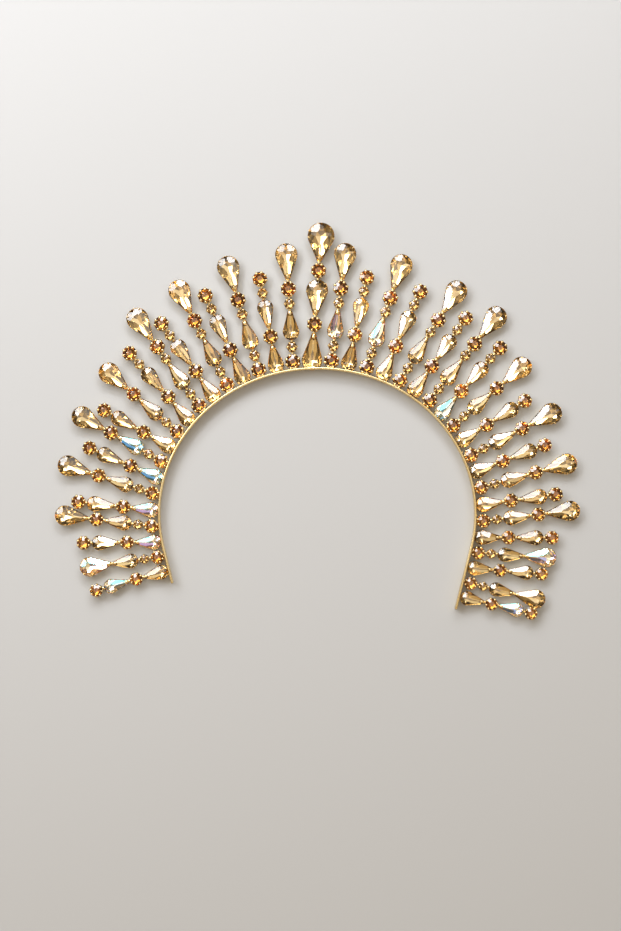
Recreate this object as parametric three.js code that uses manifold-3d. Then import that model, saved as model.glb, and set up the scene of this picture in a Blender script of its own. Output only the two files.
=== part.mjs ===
// Bridal crown: a plain strip headband with a fan of stone-set rays soldered round its outside.
// Millimetres, +Z up. The crown lies on its back: +Y runs to the top of the fan and +Z faces the viewer.
import * as THREE from 'three';
import { mergeVertices } from 'three/addons/utils/BufferGeometryUtils.js';
import Module from 'manifold-3d';

// Headband: an open ellipse of flat strip standing on its back edge, with straight ends
const BAND_HALF_WIDTH = 70.65;
const BAND_HALF_HEIGHT = 65;
const BAND_THICKNESS = 1.6;
const BAND_DEPTH = 4;
const BAND_STRAIGHT_FROM = THREE.MathUtils.degToRad(103);
const BAND_SIDE_SEGMENTS = 22;
const BAND_BARE_END = 6;

// Fan: the base stones sit a lift outside the band's inner edge. Their pitch is that of full-size stones.
const BASE_LIFT = 4.3;
const BASE_PITCH = { right: 8.05, left: 7.88 };
const CENTER_EXTRA = 0.6;
const FAN_SHIFT = -2.4;

// Ray wires: flat wire that shows between one setting and the next
const NECK = 0.55;
const WIRE_WIDTH = 1.2;
const WIRE_HEIGHT = 1.2;
const WIRE_OVERLAP = 0.9;

// Cuts: sides of each outline, the blunt point of a pear and the share of a stone that is its table
const ROUND_SIDES = 8;
const PEAR_SIDES = 8;
const TIP_SIDES = 12;
const POINT_WIDTH = 1.7;
const TABLE_SHARE = 0.56;

// Tip settings: floor of the seat, gap under the stone, shares of the outline at the stone's back and
// girdle, and how far the cut for a seat runs out of its cup
const SEAT_FLOOR = 0.9;
const SEAT_GAP = 0.25;
const CULET_SHARE = 0.4;
const GIRDLE_SHARE = 0.94;
const GIRDLE_HEIGHT = 0.35;
const CUT_CLEARANCE = 1;

// Settings seen from the front. point is +1 where a pear points away from the band, -1 towards it and
// 0 if round. cup is the height of the metal cup, crown the height of the stone above it.
const SETTINGS = {
  round: { width: 7, length: 7, point: 0, cup: 2.4, crown: 1.4 },
  small: { width: 5, length: 5, point: 0, cup: 0, crown: 2.9 },
  pear_out: { width: 7.3, length: 13, point: 1, cup: 2.4, crown: 1.4 },
  pear_in: { width: 7.3, length: 13, point: -1, cup: 2.4, crown: 1.4 },
  base_pear: { width: 7.4, length: 12.7, point: 1, cup: 2.4, crown: 1.4 },
  tip_pear: { width: 9.8, length: 16.1, point: -1, cup: 2.5, crown: 1.7 },
  center_base: { width: 9.2, length: 16.7, point: 1, cup: 2.6, crown: 1.7 },
  center_pear: { width: 9.8, length: 16.2, point: -1, cup: 2.6, crown: 1.7 },
  center_tip: { width: 12, length: 17.5, point: -1, cup: 2.8, crown: 2 },
};

// Stones along each kind of ray, from the band outwards
const PATTERNS = {
  center: ['center_base', 'round', 'center_pear', 'round', 'center_tip'],
  long_high: ['round', 'small', 'pear_out', 'small', 'round', 'tip_pear'],
  long_side: ['round', 'small', 'pear_out', 'round', 'tip_pear'],
  long_low: ['round', 'small', 'pear_out', 'tip_pear'],
  short_high: ['base_pear', 'round', 'pear_in', 'small', 'round'],
  short_side: ['base_pear', 'round', 'pear_in', 'round'],
};

// Rays on either side of the centre, from the top down. right and left are the angles of the hand-set wires
// from straight up, in degrees. The left side has two rays fewer.
const CENTER_RAY = { pattern: 'center', scale: 1, angle: 4.2 };
const RAY_PAIRS = [
  { pattern: 'long_high', scale: 1.02, right: 7.3, left: 3.5 },
  { pattern: 'short_high', scale: 0.99, right: 11.8, left: 10.5 },
  { pattern: 'long_high', scale: 1.02, right: 18.8, left: 16.5 },
  { pattern: 'short_high', scale: 1.01, right: 24.1, left: 24.6 },
  { pattern: 'long_high', scale: 1, right: 32.3, left: 26.8 },
  { pattern: 'short_high', scale: 0.99, right: 35.2, left: 35.9 },
  { pattern: 'long_high', scale: 1.01, right: 38.5, left: 35.3 },
  { pattern: 'short_high', scale: 0.98, right: 41.8, left: 41.6 },
  { pattern: 'long_side', scale: 0.96, right: 49.3, left: 49.2 },
  { pattern: 'short_side', scale: 0.96, right: 57.8, left: 61.1 },
  { pattern: 'long_side', scale: 0.97, right: 62.6, left: 60.6 },
  { pattern: 'short_side', scale: 0.95, right: 69.1, left: 66.5 },
  { pattern: 'long_side', scale: 0.95, right: 74.6, left: 71.9 },
  { pattern: 'short_side', scale: 0.96, right: 82.1, left: 83.8 },
  { pattern: 'long_side', scale: 0.93, right: 83.2, left: 83 },
  { pattern: 'short_side', scale: 0.92, right: 90.3, left: 90.7 },
  { pattern: 'long_low', scale: 0.89, right: 93.9, left: 98 },
  { pattern: 'short_side', scale: 0.88, right: 94.9, left: 105.7 },
  { pattern: 'long_low', scale: 0.87, right: 103.6, left: null },
  { pattern: 'short_side', scale: 0.86, right: 103.3, left: null },
];

// Corners nearer than this are merged when flat faces are rejoined
const WELD = 0.005;

const GOLD = new THREE.MeshStandardMaterial({ color: 0xd9a441, roughness: 0.25, metalness: 1 });
const CHAMPAGNE = new THREE.MeshStandardMaterial({ color: 0xf0d9a8, roughness: 0.05, metalness: 0 });

const wasm = await Module();
wasm.setup();

// Geometry to solid and back

function toSolid(geometry) {
  const bare = geometry.clone();
  bare.deleteAttribute('normal');
  bare.deleteAttribute('uv');
  const merged = mergeVertices(bare);
  const vertProperties = new Float32Array(merged.getAttribute('position').array);
  const triVerts = new Uint32Array(merged.getIndex().array);
  const solidMesh = new wasm.Mesh({ numProp: 3, vertProperties, triVerts });
  solidMesh.merge();
  return new wasm.Manifold(solidMesh);
}

function toGeometry(solid) {
  const solidMesh = solid.asOriginal().simplify(WELD).getMesh();
  const geometry = new THREE.BufferGeometry();
  geometry.setAttribute('position', new THREE.BufferAttribute(solidMesh.vertProperties, 3));
  geometry.setIndex(new THREE.BufferAttribute(solidMesh.triVerts, 1));
  geometry.computeVertexNormals();
  return geometry;
}

// Outlines: corners run anticlockwise, and +X is the direction of the ray

function roundOutline(width, sides) {
  const corners = [];
  for (let i = 0; i < sides; i++) {
    const angle = ((i + 0.5) / sides) * 2 * Math.PI;
    corners.push(new THREE.Vector2(Math.cos(angle), Math.sin(angle)).multiplyScalar(width / 2));
  }
  return corners;
}

// A blunt point joined by two straight sides to a round end centred on the origin
function pearOutline(width, length, sides) {
  const radius = width / 2;
  const point = new THREE.Vector2(length - radius, POINT_WIDTH / 2);
  const tangent = point.angle() + Math.acos(radius / point.length());
  const arcCorners = sides / 2 - 1;
  const step = (Math.PI - tangent) / (arcCorners - 0.5);
  const half = [point];
  for (let i = 0; i < arcCorners; i++) {
    const angle = tangent + i * step;
    half.push(new THREE.Vector2(Math.cos(angle), Math.sin(angle)).multiplyScalar(radius));
  }
  const mirrored = half.map((corner) => new THREE.Vector2(corner.x, -corner.y)).reverse();
  return [...half, ...mirrored];
}

function settingOutline(setting, sides) {
  if (setting.point === 0) {
    return roundOutline(setting.width, sides);
  }
  return pearOutline(setting.width, setting.length, sides);
}

// The middle of an outline, along the ray
function outlineMiddle(outline) {
  const reaches = outline.map((corner) => corner.x);
  return (Math.max(...reaches) + Math.min(...reaches)) / 2;
}

// A turned profile of share and height, with each of its sections laid on a share of the outline
function turnedOnOutline(outline, profile) {
  const points = profile.map((row) => new THREE.Vector2(row.share, row.height));
  const lathe = new THREE.LatheGeometry(points, outline.length);
  const position = lathe.getAttribute('position');
  const middle = outlineMiddle(outline);
  for (let i = 0; i < position.count; i++) {
    const corner = outline[Math.floor(i / points.length) % outline.length];
    const { x: share, y: height } = points[i % points.length];
    position.setXYZ(i, middle + (corner.x - middle) * share, corner.y * share, height);
  }
  return lathe;
}

// Settings and stones, each standing on z = 0 at the origin

// A stone fused to its cup. Where the cup has no height of its own, the facets run down to the back.
function fusedStone(setting, sides) {
  const top = setting.cup + setting.crown;
  const cupRim = setting.cup > 0 ? [{ share: 1, height: setting.cup }] : [];
  return turnedOnOutline(settingOutline(setting, sides), [
    { share: 0, height: 0 },
    { share: 1, height: 0 },
    ...cupRim,
    { share: TABLE_SHARE, height: top },
    { share: 0, height: top },
  ]);
}

function tipCup(setting) {
  return turnedOnOutline(settingOutline(setting, TIP_SIDES), [
    { share: 0, height: 0 },
    { share: 1, height: 0 },
    { share: 1, height: setting.cup },
    { share: 0, height: setting.cup },
  ]);
}

// The seat is a taper that the stone's back sits in, open at the front
function tipSeat(setting) {
  const aboveRim = setting.cup + CUT_CLEARANCE;
  return turnedOnOutline(settingOutline(setting, TIP_SIDES), [
    { share: 0, height: SEAT_FLOOR },
    { share: CULET_SHARE, height: SEAT_FLOOR },
    { share: GIRDLE_SHARE, height: setting.cup },
    { share: GIRDLE_SHARE, height: aboveRim },
    { share: 0, height: aboveRim },
  ]);
}

function tipStone(setting) {
  const back = SEAT_FLOOR + SEAT_GAP;
  const girdle = setting.cup + SEAT_GAP;
  const table = setting.cup + setting.crown;
  return turnedOnOutline(settingOutline(setting, TIP_SIDES), [
    { share: 0, height: back },
    { share: CULET_SHARE, height: back },
    { share: GIRDLE_SHARE, height: girdle },
    { share: GIRDLE_SHARE, height: girdle + GIRDLE_HEIGHT },
    { share: TABLE_SHARE, height: table },
    { share: 0, height: table },
  ]);
}

// Headband: each side runs from the top along an ellipse and ends straight. side is +1 right, -1 left.

function sideCurve(side, lift) {
  const top = Math.PI / 2;
  const end = top - side * BAND_STRAIGHT_FROM;
  return new THREE.EllipseCurve(0, 0, BAND_HALF_WIDTH + lift, BAND_HALF_HEIGHT + lift, top, end, side > 0);
}

// The point at a distance along a curve, or straight on from its end
function pointAlong(curve, distance) {
  const length = curve.getLength();
  if (distance <= length) {
    return curve.getPointAt(distance / length);
  }
  return curve.getPointAt(1).addScaledVector(curve.getTangentAt(1), distance - length);
}

// One edge of the strip, from the right end to the left
function bandEdge(lift, straight) {
  const right = sideCurve(1, lift);
  const left = sideCurve(-1, lift);
  return [
    pointAlong(right, right.getLength() + straight.right),
    ...right.getPoints(BAND_SIDE_SEGMENTS).reverse(),
    ...left.getPoints(BAND_SIDE_SEGMENTS).slice(1),
    pointAlong(left, left.getLength() + straight.left),
  ];
}

function headband(lastRight, lastLeft) {
  const curveLength = sideCurve(1, BASE_LIFT).getLength();
  const straight = {
    right: Math.abs(lastRight) + BAND_BARE_END - curveLength,
    left: Math.abs(lastLeft) + BAND_BARE_END - curveLength,
  };
  const strip = new THREE.Shape([...bandEdge(BAND_THICKNESS, straight), ...bandEdge(0, straight).reverse()]);
  return new THREE.ExtrudeGeometry(strip, { depth: BAND_DEPTH, bevelEnabled: false });
}

// Rays: where each setting sits along its wire

function scaled(setting, scale) {
  const { width, length, point, cup, crown } = setting;
  return { width: width * scale, length: length * scale, point, cup, crown };
}

// Lays the stones of a ray one after another. at is the origin of each outline, inner and outer its ends.
function raySettings(ray) {
  const placed = [];
  let inner = null;
  for (const name of PATTERNS[ray.pattern]) {
    const setting = scaled(SETTINGS[name], ray.scale);
    const radius = setting.width / 2;
    const towardsBand = setting.point < 0 ? setting.length - radius : radius;
    const at = inner === null ? 0 : inner + towardsBand;
    const outer = at - towardsBand + setting.length;
    placed.push({ name, setting, at, inner: at - towardsBand, outer });
    inner = outer + NECK;
  }
  return placed;
}

// Turns a piece made along +X to the ray and moves it to its place on the crown
function placeOnRay(geometry, ray, at, turned) {
  const heading = Math.PI / 2 - THREE.MathUtils.degToRad(ray.angle);
  const outwards = new THREE.Vector2(Math.cos(heading), Math.sin(heading));
  geometry.rotateZ(turned ? heading + Math.PI : heading);
  geometry.translate(ray.base.x + outwards.x * at, ray.base.y + outwards.y * at, 0);
  return geometry;
}

function neckWire(from, to) {
  const length = to - from + 2 * WIRE_OVERLAP;
  const wire = new THREE.BoxGeometry(length, WIRE_WIDTH, WIRE_HEIGHT);
  wire.translate(0, 0, WIRE_HEIGHT / 2);
  return wire;
}

// Every ray with its distance along the band from the top, right of it positive
function makeRays() {
  const rays = [{ ...CENTER_RAY, side: 'center', place: 0, distance: FAN_SHIFT }];
  let steps = 0;
  RAY_PAIRS.forEach(({ pattern, scale, right, left }, i) => {
    steps += scale;
    const place = i + 1;
    const onRight = FAN_SHIFT + CENTER_EXTRA + steps * BASE_PITCH.right;
    rays.push({ pattern, scale, angle: right, side: 'right', place, distance: onRight });
    if (left !== null) {
      const onLeft = FAN_SHIFT - CENTER_EXTRA - steps * BASE_PITCH.left;
      rays.push({ pattern, scale, angle: -left, side: 'left', place, distance: onLeft });
    }
  });
  for (const ray of rays) {
    ray.base = pointAlong(sideCurve(Math.sign(ray.distance), BASE_LIFT), Math.abs(ray.distance));
    ray.settings = raySettings(ray);
  }
  return rays;
}

const isTip = (name) => name === 'tip_pear' || name === 'center_tip';

const sidesOf = (setting) => (setting.point === 0 ? ROUND_SIDES : PEAR_SIDES);

// Assembly

const rays = makeRays();
const distances = rays.map((ray) => ray.distance);
const crown = new THREE.Group();

let metal = toSolid(headband(Math.max(...distances), Math.min(...distances)));
for (const ray of rays) {
  ray.settings.forEach(({ name, setting, at, inner }, i) => {
    const turned = setting.point < 0;
    const cup = isTip(name) ? tipCup(setting) : fusedStone(setting, sidesOf(setting));
    metal = metal.add(toSolid(placeOnRay(cup, ray, at, turned)));
    if (isTip(name)) {
      metal = metal.subtract(toSolid(placeOnRay(tipSeat(setting), ray, at, turned)));
    }
    if (i > 0) {
      const from = ray.settings[i - 1].outer;
      metal = metal.add(toSolid(placeOnRay(neckWire(from, inner), ray, (from + inner) / 2, false)));
    }
  });
}
const frame = new THREE.Mesh(toGeometry(metal), GOLD);
frame.name = 'crown_frame';
crown.add(frame);

for (const ray of rays) {
  const tip = ray.settings.find(({ name }) => isTip(name));
  if (tip) {
    const geometry = placeOnRay(tipStone(tip.setting), ray, tip.at, true);
    const stone = new THREE.Mesh(toGeometry(toSolid(geometry)), CHAMPAGNE);
    const number = (ray.place + 1) / 2;
    stone.name = ray.side === 'center' ? 'tip_stone_center' : `tip_stone_${ray.side}_${number}`;
    crown.add(stone);
  }
}

// Stand the crown on the middle of its own footprint
const box = new THREE.Box3().setFromObject(crown);
const middle = box.getCenter(new THREE.Vector3());
crown.position.set(-middle.x, -middle.y, -box.min.z);

export default crown;
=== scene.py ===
# %% [markdown]
# # A bridal crown, dressed over its solids
# The crown is a thin gold headband with a fan of ray wires soldered to it. Each ray carries cut stones
# in metal cups: champagne pears, amber rounds and small pale rounds, held by bent claws. The packed
# solids come in as a fixed frame. This lesson makes the fine work over them: the bent strip, the wires,
# the thin cups, the claws and stones that are cut facet by facet. Each piece lies where its solid lies.

# %% Load the frame
import math
import random

import bmesh
import bpy
import numpy as np
from mathutils import Matrix, Vector


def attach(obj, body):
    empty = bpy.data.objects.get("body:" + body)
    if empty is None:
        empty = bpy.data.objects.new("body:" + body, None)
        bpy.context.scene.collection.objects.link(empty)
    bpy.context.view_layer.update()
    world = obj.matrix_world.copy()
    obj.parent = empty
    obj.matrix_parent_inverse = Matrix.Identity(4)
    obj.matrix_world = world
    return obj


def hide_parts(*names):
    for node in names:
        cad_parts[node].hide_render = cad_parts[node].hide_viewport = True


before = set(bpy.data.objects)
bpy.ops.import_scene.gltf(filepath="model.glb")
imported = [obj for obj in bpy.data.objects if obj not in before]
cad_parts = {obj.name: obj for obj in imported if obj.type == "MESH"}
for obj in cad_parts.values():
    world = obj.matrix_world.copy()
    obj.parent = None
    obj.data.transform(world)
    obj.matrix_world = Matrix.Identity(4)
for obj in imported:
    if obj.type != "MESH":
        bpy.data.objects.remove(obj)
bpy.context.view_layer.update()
MM = 0.001
print("solids:", len(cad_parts))

# %% [markdown]
# ## The fan's plan
# A maker would draw the fan first: a base line a little outside the band, walked off in even steps, and
# at each step a ray with its own lean. The plan repeats the values of the solids, in millimetres, so
# that every cup and stone falls on its solid. A ray's stones follow each other outwards with a short
# neck of wire between them.

# %% Values of the plan
BAND_HALF_WIDTH = 70.65
BAND_HALF_HEIGHT = 65.0
BAND_STRAIGHT_FROM = math.radians(103)
BAND_BARE_END = 6.0
BASE_LIFT = 4.3
BASE_PITCH = {1: 8.05, -1: 7.88}
CENTER_EXTRA = 0.6
CENTER_LEAN = 4.2
FAN_SHIFT = -2.4
NECK = 0.55
BAND_MIDDLE = Vector((-0.0854, -41.663, 0))

# Each setting: width, length, way its point looks (1 outwards, -1 to the band), girdle height, table height
SETTINGS = {
    "round": (7.0, 7.0, 0, 2.4, 3.8),
    "small": (5.0, 5.0, 0, 1.8, 2.9),
    "pear_out": (7.3, 13.0, 1, 2.4, 3.8),
    "pear_in": (7.3, 13.0, -1, 2.4, 3.8),
    "base_pear": (7.4, 12.7, 1, 2.4, 3.8),
    "tip_pear": (9.8, 16.1, -1, 2.6, 4.2),
    "center_base": (9.2, 16.7, 1, 2.6, 4.3),
    "center_pear": (9.8, 16.2, -1, 2.6, 4.3),
    "center_tip": (12.0, 17.5, -1, 2.9, 4.8),
}
PATTERNS = {
    "center": ["center_base", "round", "center_pear", "round", "center_tip"],
    "long_high": ["round", "small", "pear_out", "small", "round", "tip_pear"],
    "long_side": ["round", "small", "pear_out", "round", "tip_pear"],
    "long_low": ["round", "small", "pear_out", "tip_pear"],
    "short_high": ["base_pear", "round", "pear_in", "small", "round"],
    "short_side": ["base_pear", "round", "pear_in", "round"],
}
# Each pair of rays, from the centre outwards: pattern, scale, lean in degrees on the right and on the left
RAY_PAIRS = [
    ("long_high", 1.02, 7.3, 3.5),
    ("short_high", 0.99, 11.8, 10.5),
    ("long_high", 1.02, 18.8, 16.5),
    ("short_high", 1.01, 24.1, 24.6),
    ("long_high", 1.0, 32.3, 26.8),
    ("short_high", 0.99, 35.2, 35.9),
    ("long_high", 1.01, 38.5, 35.3),
    ("short_high", 0.98, 41.8, 41.6),
    ("long_side", 0.96, 49.3, 49.2),
    ("short_side", 0.96, 57.8, 61.1),
    ("long_side", 0.97, 62.6, 60.6),
    ("short_side", 0.95, 69.1, 66.5),
    ("long_side", 0.95, 74.6, 71.9),
    ("short_side", 0.96, 82.1, 83.8),
    ("long_side", 0.93, 83.2, 83.0),
    ("short_side", 0.92, 90.3, 90.7),
    ("long_low", 0.89, 93.9, 98.0),
    ("short_side", 0.88, 94.9, 105.7),
    ("long_low", 0.87, 103.6, None),
    ("short_side", 0.86, 103.3, None),
]
print("settings:", len(SETTINGS), "patterns:", len(PATTERNS), "pairs of rays:", len(RAY_PAIRS))


# %% Walk along the band
CURVE_POINTS = 600


def base_curve(lift):
    """Half of the band's line at a lift from its inner edge: points, and the way walked to each, in mm."""
    angles = np.linspace(0, BAND_STRAIGHT_FROM, CURVE_POINTS)
    across = (BAND_HALF_WIDTH + lift) * np.sin(angles)
    up = (BAND_HALF_HEIGHT + lift) * np.cos(angles)
    walked = np.append(0, np.cumsum(np.hypot(np.diff(across), np.diff(up))))
    return across, up, walked


def along_band(distance):
    """The base point that a walk from the top comes to; to the left is negative."""
    across, up, walked = base_curve(BASE_LIFT)
    onwards = Vector((across[-1] - across[-2], up[-1] - up[-2])).normalized()
    onwards *= max(0, abs(distance) - walked[-1])
    x = np.interp(abs(distance), walked, across) + onwards.x
    y = np.interp(abs(distance), walked, up) + onwards.y
    return BAND_MIDDLE + Vector((math.copysign(x, distance), y, 0))


print("bent half of the base line in mm:", round(float(base_curve(BASE_LIFT)[2][-1]), 1))

# %% Lay out the rays
def lay_ray(name, pattern, scale, distance, lean):
    """One ray: its base, its direction and the seats of its stones."""
    base = along_band(distance)
    out = Vector((math.sin(math.radians(lean)), math.cos(math.radians(lean)), 0))
    seats = []
    outer = None
    for kind in PATTERNS[pattern]:
        width, length, point = SETTINGS[kind][:3]
        inwards = (length - width / 2 if point < 0 else width / 2) * scale
        at = 0 if outer is None else outer + NECK + inwards
        outer = at - inwards + length * scale
        turn = math.atan2(out.y, out.x) + (math.pi if point < 0 else 0)
        seats.append({"kind": kind, "ray": name, "spot": base + out * at, "turn": turn,
                      "scale": scale, "inner": at - inwards, "outer": outer})
    return {"name": name, "base": base, "out": out, "distance": distance, "seats": seats}


rays = [lay_ray("center", "center", 1, FAN_SHIFT, CENTER_LEAN)]
for side, side_name in ((1, "right"), (-1, "left")):
    distance = FAN_SHIFT + side * CENTER_EXTRA
    for place, (pattern, scale, *leans) in enumerate(RAY_PAIRS, start=1):
        lean = leans[0] if side > 0 else leans[1]
        if lean is not None:
            distance += side * BASE_PITCH[side] * scale
            rays.append(lay_ray(f"{side_name}_{place}", pattern, scale, distance, side * lean))
seats = [seat for ray in rays for seat in ray["seats"]]
print("rays:", len(rays), "stones:", len(seats))

# %% From a drawn shape to its seat
TO_METRES = Matrix.Diagonal((MM, MM, MM, 1))


def seat_matrix(seat):
    """From a shape drawn in mm at the origin, point along +X, to its place in the frame."""
    size = seat["scale"]
    drawn = Matrix.Rotation(seat["turn"], 4, "Z") @ Matrix.Diagonal((size, size, 1, 1))
    return TO_METRES @ Matrix.Translation(seat["spot"]) @ drawn


print("first seat in m:", [round(v, 4) for v in seat_matrix(seats[0]).translation])


# %% [markdown]
# ## Outlines and facets
# A pear outline is a circle that is pulled out to a point along its two tangents. A cut stone starts as
# a blank of that outline and is ground flat again and again, so it is made here as a lapidary makes it:
# each facet is one plane that slices the blank, and the cut is closed with a face. Planes that lean in
# from the girdle make the crown, and shallower ones below it make the back. Typing in the corners would
# be longer and less exact.

# %% Outline helpers
SAME_SPOT = 1e-5
SHEET_REACH = 4


def level_way(azimuth):
    """A level direction of length 1."""
    return Vector((math.cos(azimuth), math.sin(azimuth), 0))


def side_azimuth(size):
    """The direction in which a straight side of the outline looks, measured from the point's."""
    width, length, blunt = size
    point = Vector((length - width / 2, blunt / 2))
    return math.atan2(point.y, point.x) + math.acos(min(1, width / 2 / point.length))


def outline_reach(size, azimuth):
    """How far the outline reaches in a direction from the middle of its round end."""
    width, length, blunt = size
    to_point = (length - width / 2) * math.cos(azimuth) + blunt / 2 * abs(math.sin(azimuth))
    return max(width / 2, to_point)


def edge_azimuths(size, count):
    """Directions of an outline's flats: all round, or the point, the sides and the round end."""
    if size[0] == size[1]:
        return [k * 2 * math.pi / count for k in range(count)]
    side = side_azimuth(size)
    return [0] + [side + k * 2 * (math.pi - side) / (count - 2) for k in range(count - 1)]


def outline_face(bm, size, height, count):
    """A flat face of the outline at a height, trimmed from a larger sheet."""
    sheet = bmesh.ops.create_circle(bm, cap_ends=True, segments=4, radius=SHEET_REACH * size[1])
    bmesh.ops.translate(bm, verts=sheet["verts"], vec=(0, 0, height))
    for azimuth in edge_azimuths(size, count):
        along = level_way(azimuth)
        flat = bm.verts[:] + bm.edges[:] + bm.faces[:]
        bmesh.ops.bisect_plane(
            bm, geom=flat, dist=SAME_SPOT, plane_co=along * outline_reach(size, azimuth),
            plane_no=along, clear_outer=True)
    return bm.faces[:][0]


# %% Cutting helpers
CLEAR, FOIL, SHEEN = 0, 1, 2
ROUND_MAINS = 8


def raise_face(bm, face, height):
    """Extrudes a face upwards and returns the new top face."""
    raised = bmesh.ops.extrude_face_region(bm, geom=[face])["geom"]
    verts = [item for item in raised if isinstance(item, bmesh.types.BMVert)]
    bmesh.ops.translate(bm, verts=verts, vec=(0, 0, height))
    return next(item for item in raised if isinstance(item, bmesh.types.BMFace))


def cut_facet(bm, normal, through, finish):
    """Grinds one flat facet and gives it its finish."""
    everything = bm.verts[:] + bm.edges[:] + bm.faces[:]
    ground = bmesh.ops.bisect_plane(
        bm, geom=everything, dist=SAME_SPOT, plane_co=through, plane_no=normal, clear_outer=True)
    rim = [item for item in ground["geom_cut"] if isinstance(item, bmesh.types.BMEdge)]
    if len(rim) > 2:
        for face in bmesh.ops.edgeloop_fill(bm, edges=rim)["faces"]:
            face.material_index = finish


def open_edges(bm):
    """How many edges don't lie between two faces; a closed shape has none."""
    return sum(not edge.is_manifold for edge in bm.edges)


def close_mesh(bm, name):
    """Hands a finished bmesh over as a named mesh."""
    mesh = bpy.data.meshes.new(name)
    bm.to_mesh(mesh)
    bm.free()
    return mesh


def between(azimuths, share):
    """Directions a share of the way from each main facet to the next one round the stone."""
    ring = azimuths + [azimuths[0] + 2 * math.pi]
    return [low + (high - low) * share for low, high in zip(ring, ring[1:])]


def main_azimuths(size, pairs):
    """Directions of the main facets: even on a round; on a pear its point and pairs from the sides on."""
    if size[0] == size[1]:
        return [k * 2 * math.pi / ROUND_MAINS for k in range(ROUND_MAINS)]
    side = side_azimuth(size)
    step = (math.pi - side) / (pairs - 0.5)
    one_side = [side + k * step for k in range(pairs)]
    return sorted([0] + one_side + [2 * math.pi - angle for angle in one_side])


# %% Cut a stone
STONE_FOOT = 0.3
GIRDLE_THICK = 0.15
STAR_SLOPE = 20
STAR_INSET = 1.04
BETWEEN_STEEPER = 12
CROWN_PAIRS, BACK_PAIRS = 2, 3
SHORTEST_EDGE = 1e-4
# Foiled back: place between two mains, slope in degrees, height below the girdle as a share of the width
PEAR_BACK = [(0.25, 27, 0), (0.75, 27, 0), (0.5, 19.5, 0.024), (0, 13.6, 0.052)]
ROUND_BACK = [(0.25, 27, 0), (0.75, 27, 0), (0.5, 19.5, 0.024), (0, 14.5, 0.052),
              (0.5, 9, 0.088)]


def facet_ring(bm, size, azimuths, slope, height, finish):
    """A ring of facets of one slope, cut from the wall at a height; back facets look down."""
    lean = math.radians(slope)
    upwards = 1 if finish == CLEAR else -1
    for azimuth in azimuths:
        along = level_way(azimuth)
        normal = along * math.sin(lean) + Vector((0, 0, upwards * math.cos(lean)))
        through = along * outline_reach(size, azimuth) + Vector((0, 0, height))
        cut_facet(bm, normal, through, finish)


def cut_stone(name, size, girdle, table, slope, sides, back):
    """A cut stone as a mesh in mm: clear crown and girdle, foiled back."""
    bm = bmesh.new()
    raise_face(bm, outline_face(bm, size, STONE_FOOT, sides), table - STONE_FOOT)
    mains = main_azimuths(size, CROWN_PAIRS)
    halfway = between(mains, 0.5)
    top = girdle + GIRDLE_THICK
    facet_ring(bm, size, mains, slope, top, CLEAR)
    facet_ring(bm, size, halfway, slope + BETWEEN_STEEPER, top, CLEAR)
    star_inset = (table - top) / math.tan(math.radians(slope)) * STAR_INSET
    star_height = table - star_inset * math.tan(math.radians(STAR_SLOPE))
    facet_ring(bm, size, halfway, STAR_SLOPE, star_height, CLEAR)
    back_mains = main_azimuths(size, BACK_PAIRS)
    is_pear = size[0] < size[1]
    for share, back_slope, below in back:
        for place, azimuth in enumerate(between(back_mains, share)):
            finish = SHEEN if is_pear and share == 0 and place == 1 else FOIL
            facet_ring(bm, size, [azimuth], back_slope, girdle - below * size[0], finish)
    bmesh.ops.dissolve_degenerate(bm, dist=SHORTEST_EDGE, edges=bm.edges)
    bmesh.ops.recalc_face_normals(bm, faces=bm.faces)
    print(name, "faces:", len(bm.faces), "open edges:", open_edges(bm))
    return close_mesh(bm, name)


# %% [markdown]
# ## One stone of each kind
# Such stones are pressed from lead glass, ground, polished and foiled on the back. The rounds have a
# table, eight stars, eight mains and eight facets between them, over a back of several rings. The pears
# have five mains, one of them at the point, and seven on the back, so two long back facets meet under
# the table in the bright V that pears show. The backs are shallow: their light then leaves the table
# low enough to come from the boxes round the crown.

# %% Cut one stone of each kind
# How far a stone stays inside its setting; for its blunt point a pear is shortened by more than two rims
ROUND_RIM = {"round": 0.42, "small": 0.4}
PEAR_RIM = 0.3
POINT_TRIM = 2.4
POINT_WIDTH = 1.7
# The cut of a stone: slope of its mains in degrees, flats of its outline
ROUND_CUT = (33, 16)
PEAR_CUT = (28, 18)
stone_meshes = {}
for kind, (width, length, point, girdle, table) in SETTINGS.items():
    if point == 0:
        rim = ROUND_RIM[kind]
        size = (width - 2 * rim, length - 2 * rim, 0)
        stone_meshes[kind] = cut_stone(kind, size, girdle, table, *ROUND_CUT, ROUND_BACK)
    else:
        size = (width - 2 * PEAR_RIM, length - POINT_TRIM * PEAR_RIM, POINT_WIDTH - PEAR_RIM)
        stone_meshes[kind] = cut_stone(kind, size, girdle, table, *PEAR_CUT, PEAR_BACK)


# %% [markdown]
# ## From one stone to a field
# A maker sets the same stone dozens of times. Each kind is cut once, and its copies are joined into one
# mesh, since hundreds of separate objects would be slow to work with. Every copy keeps a tone of its
# own as a mesh attribute, which its finish reads later.

# %% Copy a shape to many seats
def join_copies(name, copies):
    """One mesh from copies of drawn meshes, each with its matrix and its tone."""
    bm = bmesh.new()
    tones = []
    for drawn, matrix, tone in copies:
        before = len(bm.verts)
        bm.from_mesh(drawn)
        bm.verts.ensure_lookup_table()
        bmesh.ops.transform(bm, matrix=matrix, verts=bm.verts[before:])
        tones += [tone] * (len(bm.verts) - before)
    mesh = close_mesh(bm, name)
    mesh.attributes.new("tone", "FLOAT", "POINT").data.foreach_set("value", tones)
    return mesh


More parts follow.
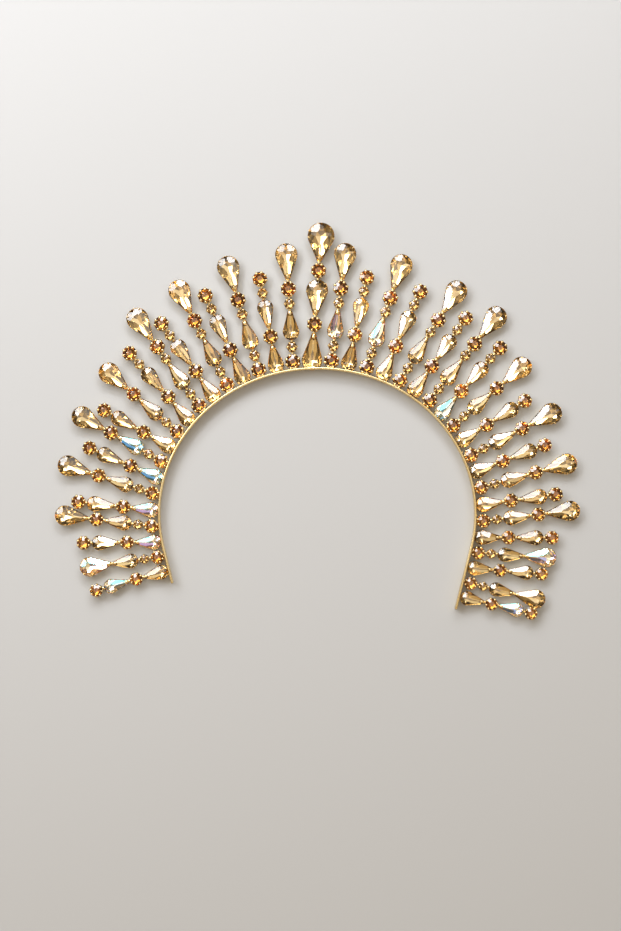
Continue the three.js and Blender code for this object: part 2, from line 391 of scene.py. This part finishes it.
def add_piece(name, mesh, materials, nodes=("crown_frame",)):
    """Puts a finished mesh into the scene as a piece that rides the crown, and hides the solids it takes
    the place of.
    """
    for material in materials:
        mesh.materials.append(material)
    piece = bpy.data.objects.new(name, mesh)
    bpy.context.scene.collection.objects.link(piece)
    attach(piece, "root")
    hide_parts(*nodes)
    mesh.calc_loop_triangles()
    print(name, "triangles:", len(mesh.loop_triangles))


# %% [markdown]
# ## Finishes
# Plated brass is never quite even: its tone drifts, it is duller where it was handled, and fine
# polishing marks catch the light. One node group gives that drift as a colour share, a roughness and a
# height, and every finish takes it with its own values. Stones are clear glass over a foiled back, so
# the light goes in through the crown, is thrown back by the foil and leaves tinted, which is where such
# stones get their sparkle. A picture of a stone on a smooth pebble would be quicker, but it would not
# change as the stone turns.

# %% The hand polish that every finish shares
NOISE_MIDDLE = (0.3, 0.7)
DRIFT_DETAIL, MARK_DETAIL = 3, 4
POLISH_VALUES = {"Drift Scale": 60, "Mark Scale": 900, "Least Roughness": 0.1, "Most Roughness": 0.3}


def build_polish():
    """A group with a slow drift, a roughness and a fine height, from object coordinates."""
    group = bpy.data.node_groups.new("hand_polish", "ShaderNodeTree")
    face = group.interface
    face.new_socket("Vector", in_out="INPUT", socket_type="NodeSocketVector")
    for name, value in POLISH_VALUES.items():
        socket = face.new_socket(name, in_out="INPUT", socket_type="NodeSocketFloat")
        socket.default_value = value
    for name in ("Drift", "Roughness", "Height"):
        face.new_socket(name, in_out="OUTPUT", socket_type="NodeSocketFloat")
    nodes, links = group.nodes, group.links
    inside = nodes.new("NodeGroupInput")
    outside = nodes.new("NodeGroupOutput")
    drift = nodes.new("ShaderNodeTexNoise")
    marks = nodes.new("ShaderNodeTexNoise")
    drift.inputs["Detail"].default_value = DRIFT_DETAIL
    marks.inputs["Detail"].default_value = MARK_DETAIL
    spread = nodes.new("ShaderNodeMapRange")
    rough = nodes.new("ShaderNodeMapRange")
    for ranged in (spread, rough):
        ranged.inputs["From Min"].default_value = NOISE_MIDDLE[0]
        ranged.inputs["From Max"].default_value = NOISE_MIDDLE[1]
    for noise, scale in ((drift, "Drift Scale"), (marks, "Mark Scale")):
        links.new(inside.outputs["Vector"], noise.inputs["Vector"])
        links.new(inside.outputs[scale], noise.inputs["Scale"])
    links.new(drift.outputs["Fac"], spread.inputs["Value"])
    links.new(marks.outputs["Fac"], rough.inputs["Value"])
    links.new(inside.outputs["Least Roughness"], rough.inputs["To Min"])
    links.new(inside.outputs["Most Roughness"], rough.inputs["To Max"])
    links.new(spread.outputs["Result"], outside.inputs["Drift"])
    links.new(rough.outputs["Result"], outside.inputs["Roughness"])
    links.new(marks.outputs["Fac"], outside.inputs["Height"])
    return group


polish = build_polish()
print("group:", polish.name, [item.name for item in polish.interface.items_tree])


# %% Start a finish
def start_finish(name, drift_scale, mark_scale, least, most):
    """A material with its shader and the shared polish, not yet joined."""
    material = bpy.data.materials.new(name)
    material.use_nodes = True
    tree = material.node_tree
    shader = tree.nodes["Principled BSDF"]
    where = tree.nodes.new("ShaderNodeTexCoord")
    worn = tree.nodes.new("ShaderNodeGroup")
    worn.node_tree = polish
    for socket, value in zip(POLISH_VALUES, (drift_scale, mark_scale, least, most)):
        worn.inputs[socket].default_value = value
    tree.links.new(where.outputs["Object"], worn.inputs["Vector"])
    tree.links.new(worn.outputs["Roughness"], shader.inputs["Roughness"])
    return material, tree, shader, worn


def mix_tones(tree, share, low, high, target):
    """A colour between two tones, by a share, into a shader's socket."""
    mix = tree.nodes.new("ShaderNodeMix")
    mix.data_type = "RGBA"
    mix.inputs["A"].default_value = (*low, 1)
    mix.inputs["B"].default_value = (*high, 1)
    tree.links.new(share, mix.inputs["Factor"])
    tree.links.new(mix.outputs["Result"], target)


# %% Gold plate
MARK_DEPTH = 0.0002


def plated_metal(name, low, high, least, most, relief):
    """Gold plate: two tones of yellow gold that drift, with fine polishing marks."""
    material, tree, shader, worn = start_finish(
        name, drift_scale=70, mark_scale=1500, least=least, most=most)
    shader.inputs["Metallic"].default_value = 1
    mix_tones(tree, worn.outputs["Drift"], low, high, shader.inputs["Base Color"])
    bump = tree.nodes.new("ShaderNodeBump")
    bump.inputs["Strength"].default_value = relief
    bump.inputs["Distance"].default_value = MARK_DEPTH
    tree.links.new(worn.outputs["Height"], bump.inputs["Height"])
    tree.links.new(bump.outputs["Normal"], shader.inputs["Normal"])
    return material


# %% Glass and foil
GLASS_IOR, COAT_IOR, FILM_IOR = 1.56, 1.7, 2.0
COAT_ROUGHNESS = 0.01


def stone_tone(tree):
    """The tone that each stone carries in its mesh, 0 pale to 1 deep."""
    tone = tree.nodes.new("ShaderNodeAttribute")
    tone.attribute_name = "tone"
    return tone.outputs["Fac"]


def clear_glass(name, pale, deep, film=0):
    """The crown of a stone: tinted lead glass with a bright polish, or a rainbow film of so many nm."""
    material, tree, shader, _ = start_finish(name, drift_scale=90, mark_scale=300, least=0.0, most=0.006)
    shader.inputs["Transmission Weight"].default_value = 1
    shader.inputs["IOR"].default_value = GLASS_IOR
    shader.inputs["Coat Weight"].default_value = 0 if film else 1
    shader.inputs["Coat IOR"].default_value = COAT_IOR
    shader.inputs["Coat Roughness"].default_value = COAT_ROUGHNESS
    shader.inputs["Thin Film Thickness"].default_value = film
    shader.inputs["Thin Film IOR"].default_value = FILM_IOR
    mix_tones(tree, stone_tone(tree), pale, deep, shader.inputs["Base Color"])
    return material


def foil_back(name, pale, deep):
    """The mirror foil on the back of a stone."""
    material, tree, shader, _ = start_finish(name, drift_scale=150, mark_scale=300, least=0.010, most=0.018)
    shader.inputs["Metallic"].default_value = 1
    mix_tones(tree, stone_tone(tree), pale, deep, shader.inputs["Base Color"])
    return material


# %% Mix the finishes
RAINBOW_FILM = 190
gold = plated_metal("polished_gold", (0.97, 0.79, 0.45), (0.90, 0.68, 0.33),
                    least=0.12, most=0.28, relief=0.12)
champagne = clear_glass("champagne_glass", (0.96, 0.85, 0.62), (0.88, 0.73, 0.46))
rainbow = clear_glass("rainbow_glass", (0.99, 0.95, 0.88), (0.98, 0.92, 0.80), RAINBOW_FILM)
honey = clear_glass("honey_glass", (0.78, 0.62, 0.36), (0.67, 0.50, 0.26))
amber = clear_glass("amber_glass", (0.76, 0.50, 0.19), (0.64, 0.37, 0.11))
champagne_foil = foil_back("champagne_foil", (0.93, 0.81, 0.57), (0.82, 0.65, 0.41))
sheen_foil = foil_back("sheen_foil", (0.15, 0.40, 0.80), (0.60, 0.44, 0.84))
rainbow_foil = foil_back("rainbow_foil", (0.98, 0.93, 0.84), (0.96, 0.86, 0.66))
honey_foil = foil_back("honey_foil", (0.77, 0.60, 0.35), (0.65, 0.49, 0.26))
amber_foil = foil_back("amber_foil", (0.84, 0.60, 0.28), (0.74, 0.48, 0.18))
print("finishes:", [material.name for material in (gold, champagne, rainbow, honey, amber)])

# %% [markdown]
# ## Set the stones
# The pears at the tips of the rays are pieces of their own, as in the solids. The other stones are a
# field, so each kind is one joined mesh, and each stone in it carries a tone of its own, because glass
# stones never match. A few stones have a rainbow coat, a very thin clear film: it tints what they
# mirror, and one back facet of each throws out blue or violet. Which ones have it was read from the
# photograph.

# %% Tones and coats
# Stones with the rainbow coat: the ray and the kind of setting, and how far it goes from blue to violet
COATED = {
    ("left_11", "pear_out"): 0, ("left_12", "base_pear"): 0, ("left_14", "base_pear"): 0.9,
    ("left_16", "base_pear"): 1, ("left_17", "tip_pear"): 1, ("left_18", "pear_in"): 0.3,
    ("right_1", "pear_out"): 0.8, ("right_3", "pear_out"): 0.9, ("right_8", "base_pear"): 0.1,
    ("right_17", "tip_pear"): 0.7, ("right_20", "pear_in"): 0.4,
}
# Range of tones in a field: the tips are the palest, the pears along the rays deeper
TIP_TONES, PEAR_TONES, ROUND_TONES = (0, 0.45), (0.05, 0.65), (0.1, 1)
TIP_KINDS = ("tip_pear", "center_tip")
TONE_SEED = 39
champagne_finish = [champagne, champagne_foil, champagne_foil]
rainbow_finish = [rainbow, rainbow_foil, sheen_foil]
print("stones with the rainbow coat:", len(COATED))


# %% Place the stones
def tip_node(ray_name):
    """The solid that the stone at a ray's tip stands for: every other ray is a long one."""
    side, _, place = ray_name.partition("_")
    return f"tip_stone_{side}_{(int(place) + 1) // 2}" if place else "tip_stone_center"


toss = random.Random(TONE_SEED)
fields = {"amber_rounds": [], "pale_rounds": [], "champagne_pears": [], "rainbow_pears": []}
round_fields = {"round": "amber_rounds", "small": "pale_rounds"}
for seat in seats:
    kind = seat["kind"]
    tones = TIP_TONES if kind in TIP_KINDS else ROUND_TONES if kind in ROUND_RIM else PEAR_TONES
    coated = (seat["ray"], kind) in COATED
    tone = COATED.get((seat["ray"], kind), toss.uniform(*tones))
    copy = (stone_meshes[kind], seat_matrix(seat), tone)
    if kind in TIP_KINDS:
        node = tip_node(seat["ray"])
        name = node.replace("stone", "pear")
        finish = rainbow_finish if coated else champagne_finish
        add_piece(name, join_copies(name, [copy]), finish, (node,))
    else:
        fields[round_fields.get(kind, "rainbow_pears" if coated else "champagne_pears")].append(copy)
print("stones in fields:", {name: len(copies) for name, copies in fields.items()})

# %% Join the fields
field_finishes = {
    "amber_rounds": ("amber_crystal", [amber, amber_foil]),
    "pale_rounds": ("champagne_crystal", [honey, honey_foil]),
    "champagne_pears": ("champagne_crystal", champagne_finish),
    "rainbow_pears": ("champagne_crystal", rainbow_finish),
}
for name, (slot, finish) in field_finishes.items():
    add_piece(name, join_copies(name, fields[name]), finish)

# %% [markdown]
# ## Cups and claws
# Each stone sits in a stamped cup with a thin wall, and claws are bent over its girdle. A cup is the
# outline raised with a taper, its top inset by the wall and pushed down. A claw is a small rounded
# bead, leaning in over the edge. Rounds have eight claws, which makes their scalloped rim; small rounds
# six; a pear has four round its wide end and a longer one over its point. Cup and claws are drawn once
# for each kind and copied like the stones.

# %% Draw a cup
CUP_FOOT = 0.3
CUP_FLOOR = 0.2
CUP_TAPER = 0.66
CUP_SIDES = 22
CLAW_LEAN = -24


def add_cup(bm, size, rim, wall):
    """A tapered cup with a thin wall, open at the front."""
    middle = Matrix.Translation((-(size[1] - size[0]) / 2, 0, 0))
    base = outline_face(bm, size, CUP_FOOT, CUP_SIDES)
    bmesh.ops.scale(bm, verts=base.verts, vec=(CUP_TAPER, CUP_TAPER, 1), space=middle)
    top = raise_face(bm, base, rim - CUP_FOOT)
    bmesh.ops.scale(bm, verts=top.verts, vec=(1 / CUP_TAPER, 1 / CUP_TAPER, 1), space=middle)
    bmesh.ops.inset_region(bm, faces=[top], thickness=wall, use_even_offset=True)
    bmesh.ops.translate(bm, verts=top.verts, vec=(0, 0, CUP_FOOT + CUP_FLOOR - rim))
    bmesh.ops.scale(bm, verts=top.verts, vec=(CUP_TAPER, CUP_TAPER, 1), space=middle)


def add_claw(bm, spot, azimuth, size, lean=CLAW_LEAN):
    """A rounded claw at a spot of the rim, which leans in over the stone; its three sizes are halves."""
    made = bmesh.ops.create_uvsphere(bm, u_segments=8, v_segments=6, radius=1)
    place = Matrix.Translation(spot) @ Matrix.Rotation(azimuth, 4, "Z")
    tilt = Matrix.Rotation(math.radians(lean), 4, "Y")
    bmesh.ops.transform(bm, verts=made["verts"], matrix=place @ tilt @ Matrix.Diagonal((*size, 1)))


# %% Draw the claws of a setting
# Claws of a round setting: how many, half their width, how far their middle stands inside the outline
ROUND_CLAWS = {"round": (8, 0.66, 0.52), "small": (6, 0.52, 0.42)}
ROUND_CLAW_RISE, ROUND_CLAW_HEIGHT = 0.3, 0.9
# Claws of a pear: their directions, half their width, how far inside, how high, half their height
PEAR_CLAW_TURNS = (80, 135, 225, 280)
PEAR_CLAW, PEAR_CLAW_INSIDE, PEAR_CLAW_RISE, PEAR_CLAW_HEIGHT = 0.36, 0.25, 0.2, 0.7
# Cap over a pear's point: half its length as a share of the pear's, half width and height, place, lean
CAP_SHARE, CAP_WIDTH, CAP_HEIGHT = 0.1, 0.8, 0.66
CAP_PAST, CAP_RISE, CAP_LEAN = 0.1, 0.1, 6


def claw_round(bm, kind, width, girdle):
    """Even claws all round, which make the scalloped rim."""
    count, claw, inside = ROUND_CLAWS[kind]
    for k in range(count):
        azimuth = (k + 0.5) * 2 * math.pi / count
        spot = level_way(azimuth) * (width / 2 - inside) + Vector((0, 0, girdle + ROUND_CLAW_RISE))
        add_claw(bm, spot, azimuth, (claw, claw, ROUND_CLAW_HEIGHT))


def claw_pear(bm, width, length, girdle):
    """Four claws round the wide end and a cap over the point."""
    for turn in PEAR_CLAW_TURNS:
        azimuth = math.radians(turn)
        inside = width / 2 - PEAR_CLAW_INSIDE
        spot = level_way(azimuth) * inside + Vector((0, 0, girdle + PEAR_CLAW_RISE))
        add_claw(bm, spot, azimuth, (PEAR_CLAW, PEAR_CLAW, PEAR_CLAW_HEIGHT))
    cap = CAP_SHARE * length
    spot = Vector((length - width / 2 - cap + CAP_PAST, 0, girdle + CAP_RISE))
    add_claw(bm, spot, 0, (cap, CAP_WIDTH, CAP_HEIGHT), lean=CAP_LEAN)


# %% Draw one setting of each kind
RIM_OVER_GIRDLE = 0.1
ROUND_CUP_TRIM = 0.45
ROUND_WALL, PEAR_WALL = 0.25, 0.24
setting_meshes = {}
for kind, (width, length, point, girdle, _) in SETTINGS.items():
    bm = bmesh.new()
    rim = girdle + RIM_OVER_GIRDLE
    if point == 0:
        add_cup(bm, (width - ROUND_CUP_TRIM, length - ROUND_CUP_TRIM, 0), rim, ROUND_WALL)
        claw_round(bm, kind, width, girdle)
    else:
        add_cup(bm, (width, length, POINT_WIDTH), rim, PEAR_WALL)
        claw_pear(bm, width, length, girdle)
    bmesh.ops.recalc_face_normals(bm, faces=bm.faces)
    print(kind, "setting faces:", len(bm.faces), "open edges:", open_edges(bm))
    setting_meshes[kind] = close_mesh(bm, kind + "_setting")

# %% Solder the settings on
SMOOTH_UNDER = math.radians(40)


def smooth_metal(mesh):
    """Round shading on metal, with creases kept where faces meet steeply."""
    mesh.shade_smooth()
    mesh.set_sharp_from_angle(angle=SMOOTH_UNDER)
    return mesh


setting_groups = {
    "round_settings": ("round",),
    "small_settings": ("small",),
    "pear_settings": ("pear_out", "pear_in", "base_pear", "center_base", "center_pear"),
    "tip_settings": TIP_KINDS,
}
for name, kinds in setting_groups.items():
    copies = [(setting_meshes[seat["kind"]], seat_matrix(seat), 0)
              for seat in seats if seat["kind"] in kinds]
    add_piece(name, smooth_metal(join_copies(name, copies)), [gold])

# %% [markdown]
# ## Ray wires
# The cups of a ray are strung on gold wire, which shows only as short necks between them and ties the
# first cup to the band. A neck is a capped cylinder that ends inside the cups on both sides, like a
# soldered joint. One wire for the whole ray would be simpler, but it would cut through the backs of the
# stones.

# %% Ray wires
WIRE_RADIUS = 0.6
WIRE_SIDES = 12
WIRE_OVERLAP = 0.9
# First neck of a ray: how far out from the band's inner edge it starts, how far into the cup it goes
OUT_FROM_EDGE, INTO_CUP = 1.4, 0.5
bm = bmesh.new()
for ray in rays:
    upright_to_ray = Vector((0, 0, 1)).rotation_difference(ray["out"]).to_matrix().to_4x4()
    seated = ray["seats"]
    first = (-BASE_LIFT + OUT_FROM_EDGE, seated[0]["inner"] + INTO_CUP)
    necks = [(inside["outer"], outside["inner"]) for inside, outside in zip(seated, seated[1:])]
    for start, end in [first] + necks:
        middle = ray["base"] + ray["out"] * (start + end) / 2
        made = bmesh.ops.create_cone(
            bm, cap_ends=True, segments=WIRE_SIDES, radius1=WIRE_RADIUS, radius2=WIRE_RADIUS,
            depth=end - start + 2 * WIRE_OVERLAP)
        laid = Matrix.Translation(middle + Vector((0, 0, WIRE_RADIUS))) @ upright_to_ray
        bmesh.ops.transform(bm, verts=made["verts"], matrix=TO_METRES @ laid)
add_piece("ray_wires", smooth_metal(close_mesh(bm, "ray_wires")), [gold])

# %% [markdown]
# ## Headband
# The headband is a thin flat strip on edge, bent to an open ellipse with straight ends. A circle is
# scaled to the ellipse, trimmed, and its two ends are drawn out straight. That line is extruded across
# the strip's depth and thickened outwards, and its edges are rounded, so the front edge shows as one
# fine bright line.

# %% Measure the straight ends of the strip
straight = {}
for side in (1, -1):
    last_ray = max(abs(ray["distance"]) for ray in rays if ray["distance"] * side > 0)
    straight[side] = last_ray - base_curve(BASE_LIFT)[2][-1] + BAND_BARE_END
print("straight runs in mm:", {side: round(float(run), 1) for side, run in straight.items()})

# %% Bend the strip
BAND_DEPTH = 4.0
BAND_POINTS = 180
# Which way the right end runs on: the part of it to the middle, and the part downwards
END_IN, END_DOWN = 0.2434, 0.9699
bm = bmesh.new()
bmesh.ops.create_circle(bm, segments=BAND_POINTS, radius=1)
bmesh.ops.scale(bm, verts=bm.verts, vec=(BAND_HALF_WIDTH, BAND_HALF_HEIGHT, 1))
lowest = BAND_HALF_HEIGHT * math.cos(BAND_STRAIGHT_FROM)
bmesh.ops.bisect_plane(bm, geom=bm.verts[:] + bm.edges[:], plane_co=(0, lowest, 0),
                       plane_no=(0, -1, 0), clear_outer=True)
ends = [vert for vert in bm.verts if len(vert.link_edges) == 1]
for end in ends:
    side = math.copysign(1, end.co.x)
    onwards = Vector((-side * END_IN, -END_DOWN, 0)) * straight[int(side)]
    longer = bmesh.ops.extrude_vert_indiv(bm, verts=[end])["verts"]
    bmesh.ops.translate(bm, verts=longer, vec=onwards)
strip = bmesh.ops.extrude_edge_only(bm, edges=bm.edges[:])["geom"]
front = [item for item in strip if isinstance(item, bmesh.types.BMVert)]
bmesh.ops.translate(bm, verts=front, vec=(0, 0, BAND_DEPTH))
bmesh.ops.recalc_face_normals(bm, faces=bm.faces)
print("band ends:", len(ends), "strip faces:", len(bm.faces))

# %% Thicken the strip and soften its edges
BAND_THICKNESS = 1.1
EDGE_ROUND = 0.42
CREASE_OVER = math.radians(50)
outwards = sum(face.normal.dot(face.calc_center_median()) for face in bm.faces)
if outwards < 0:
    bmesh.ops.reverse_faces(bm, faces=bm.faces)
bmesh.ops.solidify(bm, geom=bm.faces[:], thickness=-BAND_THICKNESS)
bmesh.ops.recalc_face_normals(bm, faces=bm.faces)
creases = [edge for edge in bm.edges if edge.is_manifold and edge.calc_face_angle() > CREASE_OVER]
bmesh.ops.bevel(bm, geom=creases, offset=EDGE_ROUND, affect="EDGES", segments=3, profile=0.5, material=-1)
bmesh.ops.transform(bm, verts=bm.verts, matrix=TO_METRES @ Matrix.Translation(BAND_MIDDLE))
add_piece("headband", smooth_metal(close_mesh(bm, "headband")), [gold])

# %% [markdown]
# ## Floor and light
# The crown lies on its back on a pale floor. Cut stones only sparkle when there is something to mirror,
# so the light is a ring of soft boxes with dark gaps between them, daylight above and warm below.
# Narrow bright strips hang lower on the upper side: they are what the white facets mirror. A broad
# panel overhead fills the flat metal. The lamps stand close round the crown, so the floor beyond them
# would go dark. There the floor is given painted light, a faint glow of its own that keeps it pale to the
# horizon, and it lies too low for the stones to mirror it.

# %% Floor
FLOOR_REACH = 9
bm = bmesh.new()
bmesh.ops.create_grid(bm, x_segments=1, y_segments=1, size=FLOOR_REACH)
floor = bpy.data.objects.new("floor", close_mesh(bm, "floor"))
bpy.context.scene.collection.objects.link(floor)
print("floor reaches", FLOOR_REACH, "m to each side")

# %% Pale paper for the floor, with painted light further out
FLOOR_TONE, FLOOR_ROUGHNESS = (0.55, 0.565, 0.59, 1), 0.9
# Painted light, a glow the floor gives off: from and to which distance in m it grows, its strength, the
# middle of the lit pool
GLOW_FROM, GLOW_TO, GLOW = 0.45, 1.2, 0.5
POOL_MIDDLE = (0, 0.22, 0)
paper = bpy.data.materials.new("pale_paper_with_painted_glow")
paper.use_nodes = True
paper.cycles.emission_sampling = "NONE"
tree = paper.node_tree
shader = tree.nodes["Principled BSDF"]
shader.inputs["Base Color"].default_value = FLOOR_TONE
shader.inputs["Roughness"].default_value = FLOOR_ROUGHNESS
# Painted light: the floor glows more with distance from the lit pool, where the lamps fall off
shader.inputs["Emission Strength"].default_value = GLOW
where = tree.nodes.new("ShaderNodeTexCoord")
away = tree.nodes.new("ShaderNodeVectorMath")
away.operation = "DISTANCE"
away.inputs[1].default_value = POOL_MIDDLE
glow = tree.nodes.new("ShaderNodeMapRange")
glow.interpolation_type = "SMOOTHSTEP"
glow.inputs["From Min"].default_value = GLOW_FROM
glow.inputs["From Max"].default_value = GLOW_TO
tree.links.new(where.outputs["Object"], away.inputs[0])
tree.links.new(away.outputs["Value"], glow.inputs["Value"])
tree.links.new(glow.outputs["Result"], shader.inputs["Emission Color"])
floor.data.materials.append(paper)
print("floor glows from", GLOW_FROM, "m on")

# %% Light from all round
AMBIENT, AMBIENT_STRENGTH = (1, 0.77, 0.48, 1), 0.24
world = bpy.data.worlds.new("studio")
world.use_nodes = True
background = world.node_tree.nodes["Background"]
background.inputs["Color"].default_value = AMBIENT
background.inputs["Strength"].default_value = AMBIENT_STRENGTH
bpy.context.scene.world = world
print("ambient strength:", AMBIENT_STRENGTH)

# %% Soft boxes
DAY, WARM = (1, 1, 1), (1, 0.78, 0.48)
# The ring: its height in degrees, distance, width and depth in m, then each box's direction and brightness
RING_SHAPE = (45, 0.9, 0.56, 0.34)
RING = [
    (157.5, 1.2, DAY), (112.5, 0.7, DAY), (67.5, 0.95, DAY), (22.5, 0.9, DAY),
    (337.5, 0.5, WARM), (292.5, 0.55, WARM), (247.5, 0.4, WARM), (202.5, 0.55, WARM),
]
# Strips and panel: direction on the floor and height in degrees, distance, width and depth in m, brightness
STRIPS = [
    (77, 31, 0.95, 0.54, 0.18, 7.5),
    (105, 25, 0.95, 0.55, 0.18, 8),
    (103, 36, 0.95, 0.70, 0.16, 6),
    (146, 39, 0.95, 0.62, 0.17, 7.5),
    (142, 27, 0.95, 0.70, 0.16, 6),
]
PANEL = (90, 90, 1.5, 1.10, 1.10, 0.65)
soft_boxes = [(azimuth, *RING_SHAPE, brightness, tint) for azimuth, brightness, tint in RING]
soft_boxes += [(*box, DAY) for box in STRIPS + [PANEL]]
for count, (azimuth, height, distance, width, depth, brightness, tint) in enumerate(soft_boxes):
    light = bpy.data.lights.new(f"soft_box_{count}", "AREA")
    light.shape = "RECTANGLE"
    light.size = width
    light.size_y = depth
    light.energy = brightness * math.pi * width * depth
    light.color = tint
    lamp = bpy.data.objects.new(light.name, light)
    azimuth, height = math.radians(azimuth), math.radians(height)
    level = math.cos(height)
    aim = Vector((math.cos(azimuth) * level, math.sin(azimuth) * level, math.sin(height)))
    lamp.location = aim * distance
    lamp.rotation_euler = aim.to_track_quat("Z", "Y").to_euler()
    bpy.context.scene.collection.objects.link(lamp)
print("soft boxes:", len(soft_boxes))

# %% [markdown]
# ## Camera
# The crown is seen from straight above, as its front is seen when it is worn. The camera stands far
# enough off to keep the rays straight, and its field follows from the scale of 0.45 mm to a pixel of
# the photograph.

# %% Camera
PHOTO_ROWS = 931
PIXEL = 0.45
FIELD = PIXEL * MM * PHOTO_ROWS
HEIGHT = 0.9
# Middle of the view in mm, and the height of the stones, to which the scale belongs
VIEW_MIDDLE = (-3.145, -19.838)
STONE_FRONT = 3
camera_data = bpy.data.cameras.new("camera")
camera_data.sensor_fit = "VERTICAL"
camera_data.angle_y = 2 * math.atan(FIELD / 2 / HEIGHT)
camera = bpy.data.objects.new("camera", camera_data)
camera.location = (VIEW_MIDDLE[0] * MM, VIEW_MIDDLE[1] * MM, HEIGHT + STONE_FRONT * MM)
bpy.context.scene.collection.objects.link(camera)
bpy.context.scene.camera = camera
print("height of the view in mm:", round(FIELD / MM, 1))

# %% Light paths
# Light bounces many times inside a stone before it leaves again
BOUNCES = 24
bpy.context.scene.view_settings.view_transform = "Standard"
bpy.context.scene.cycles.max_bounces = BOUNCES
bpy.context.scene.cycles.glossy_bounces = BOUNCES
bpy.context.scene.cycles.transmission_bounces = BOUNCES
print("bounces:", BOUNCES)
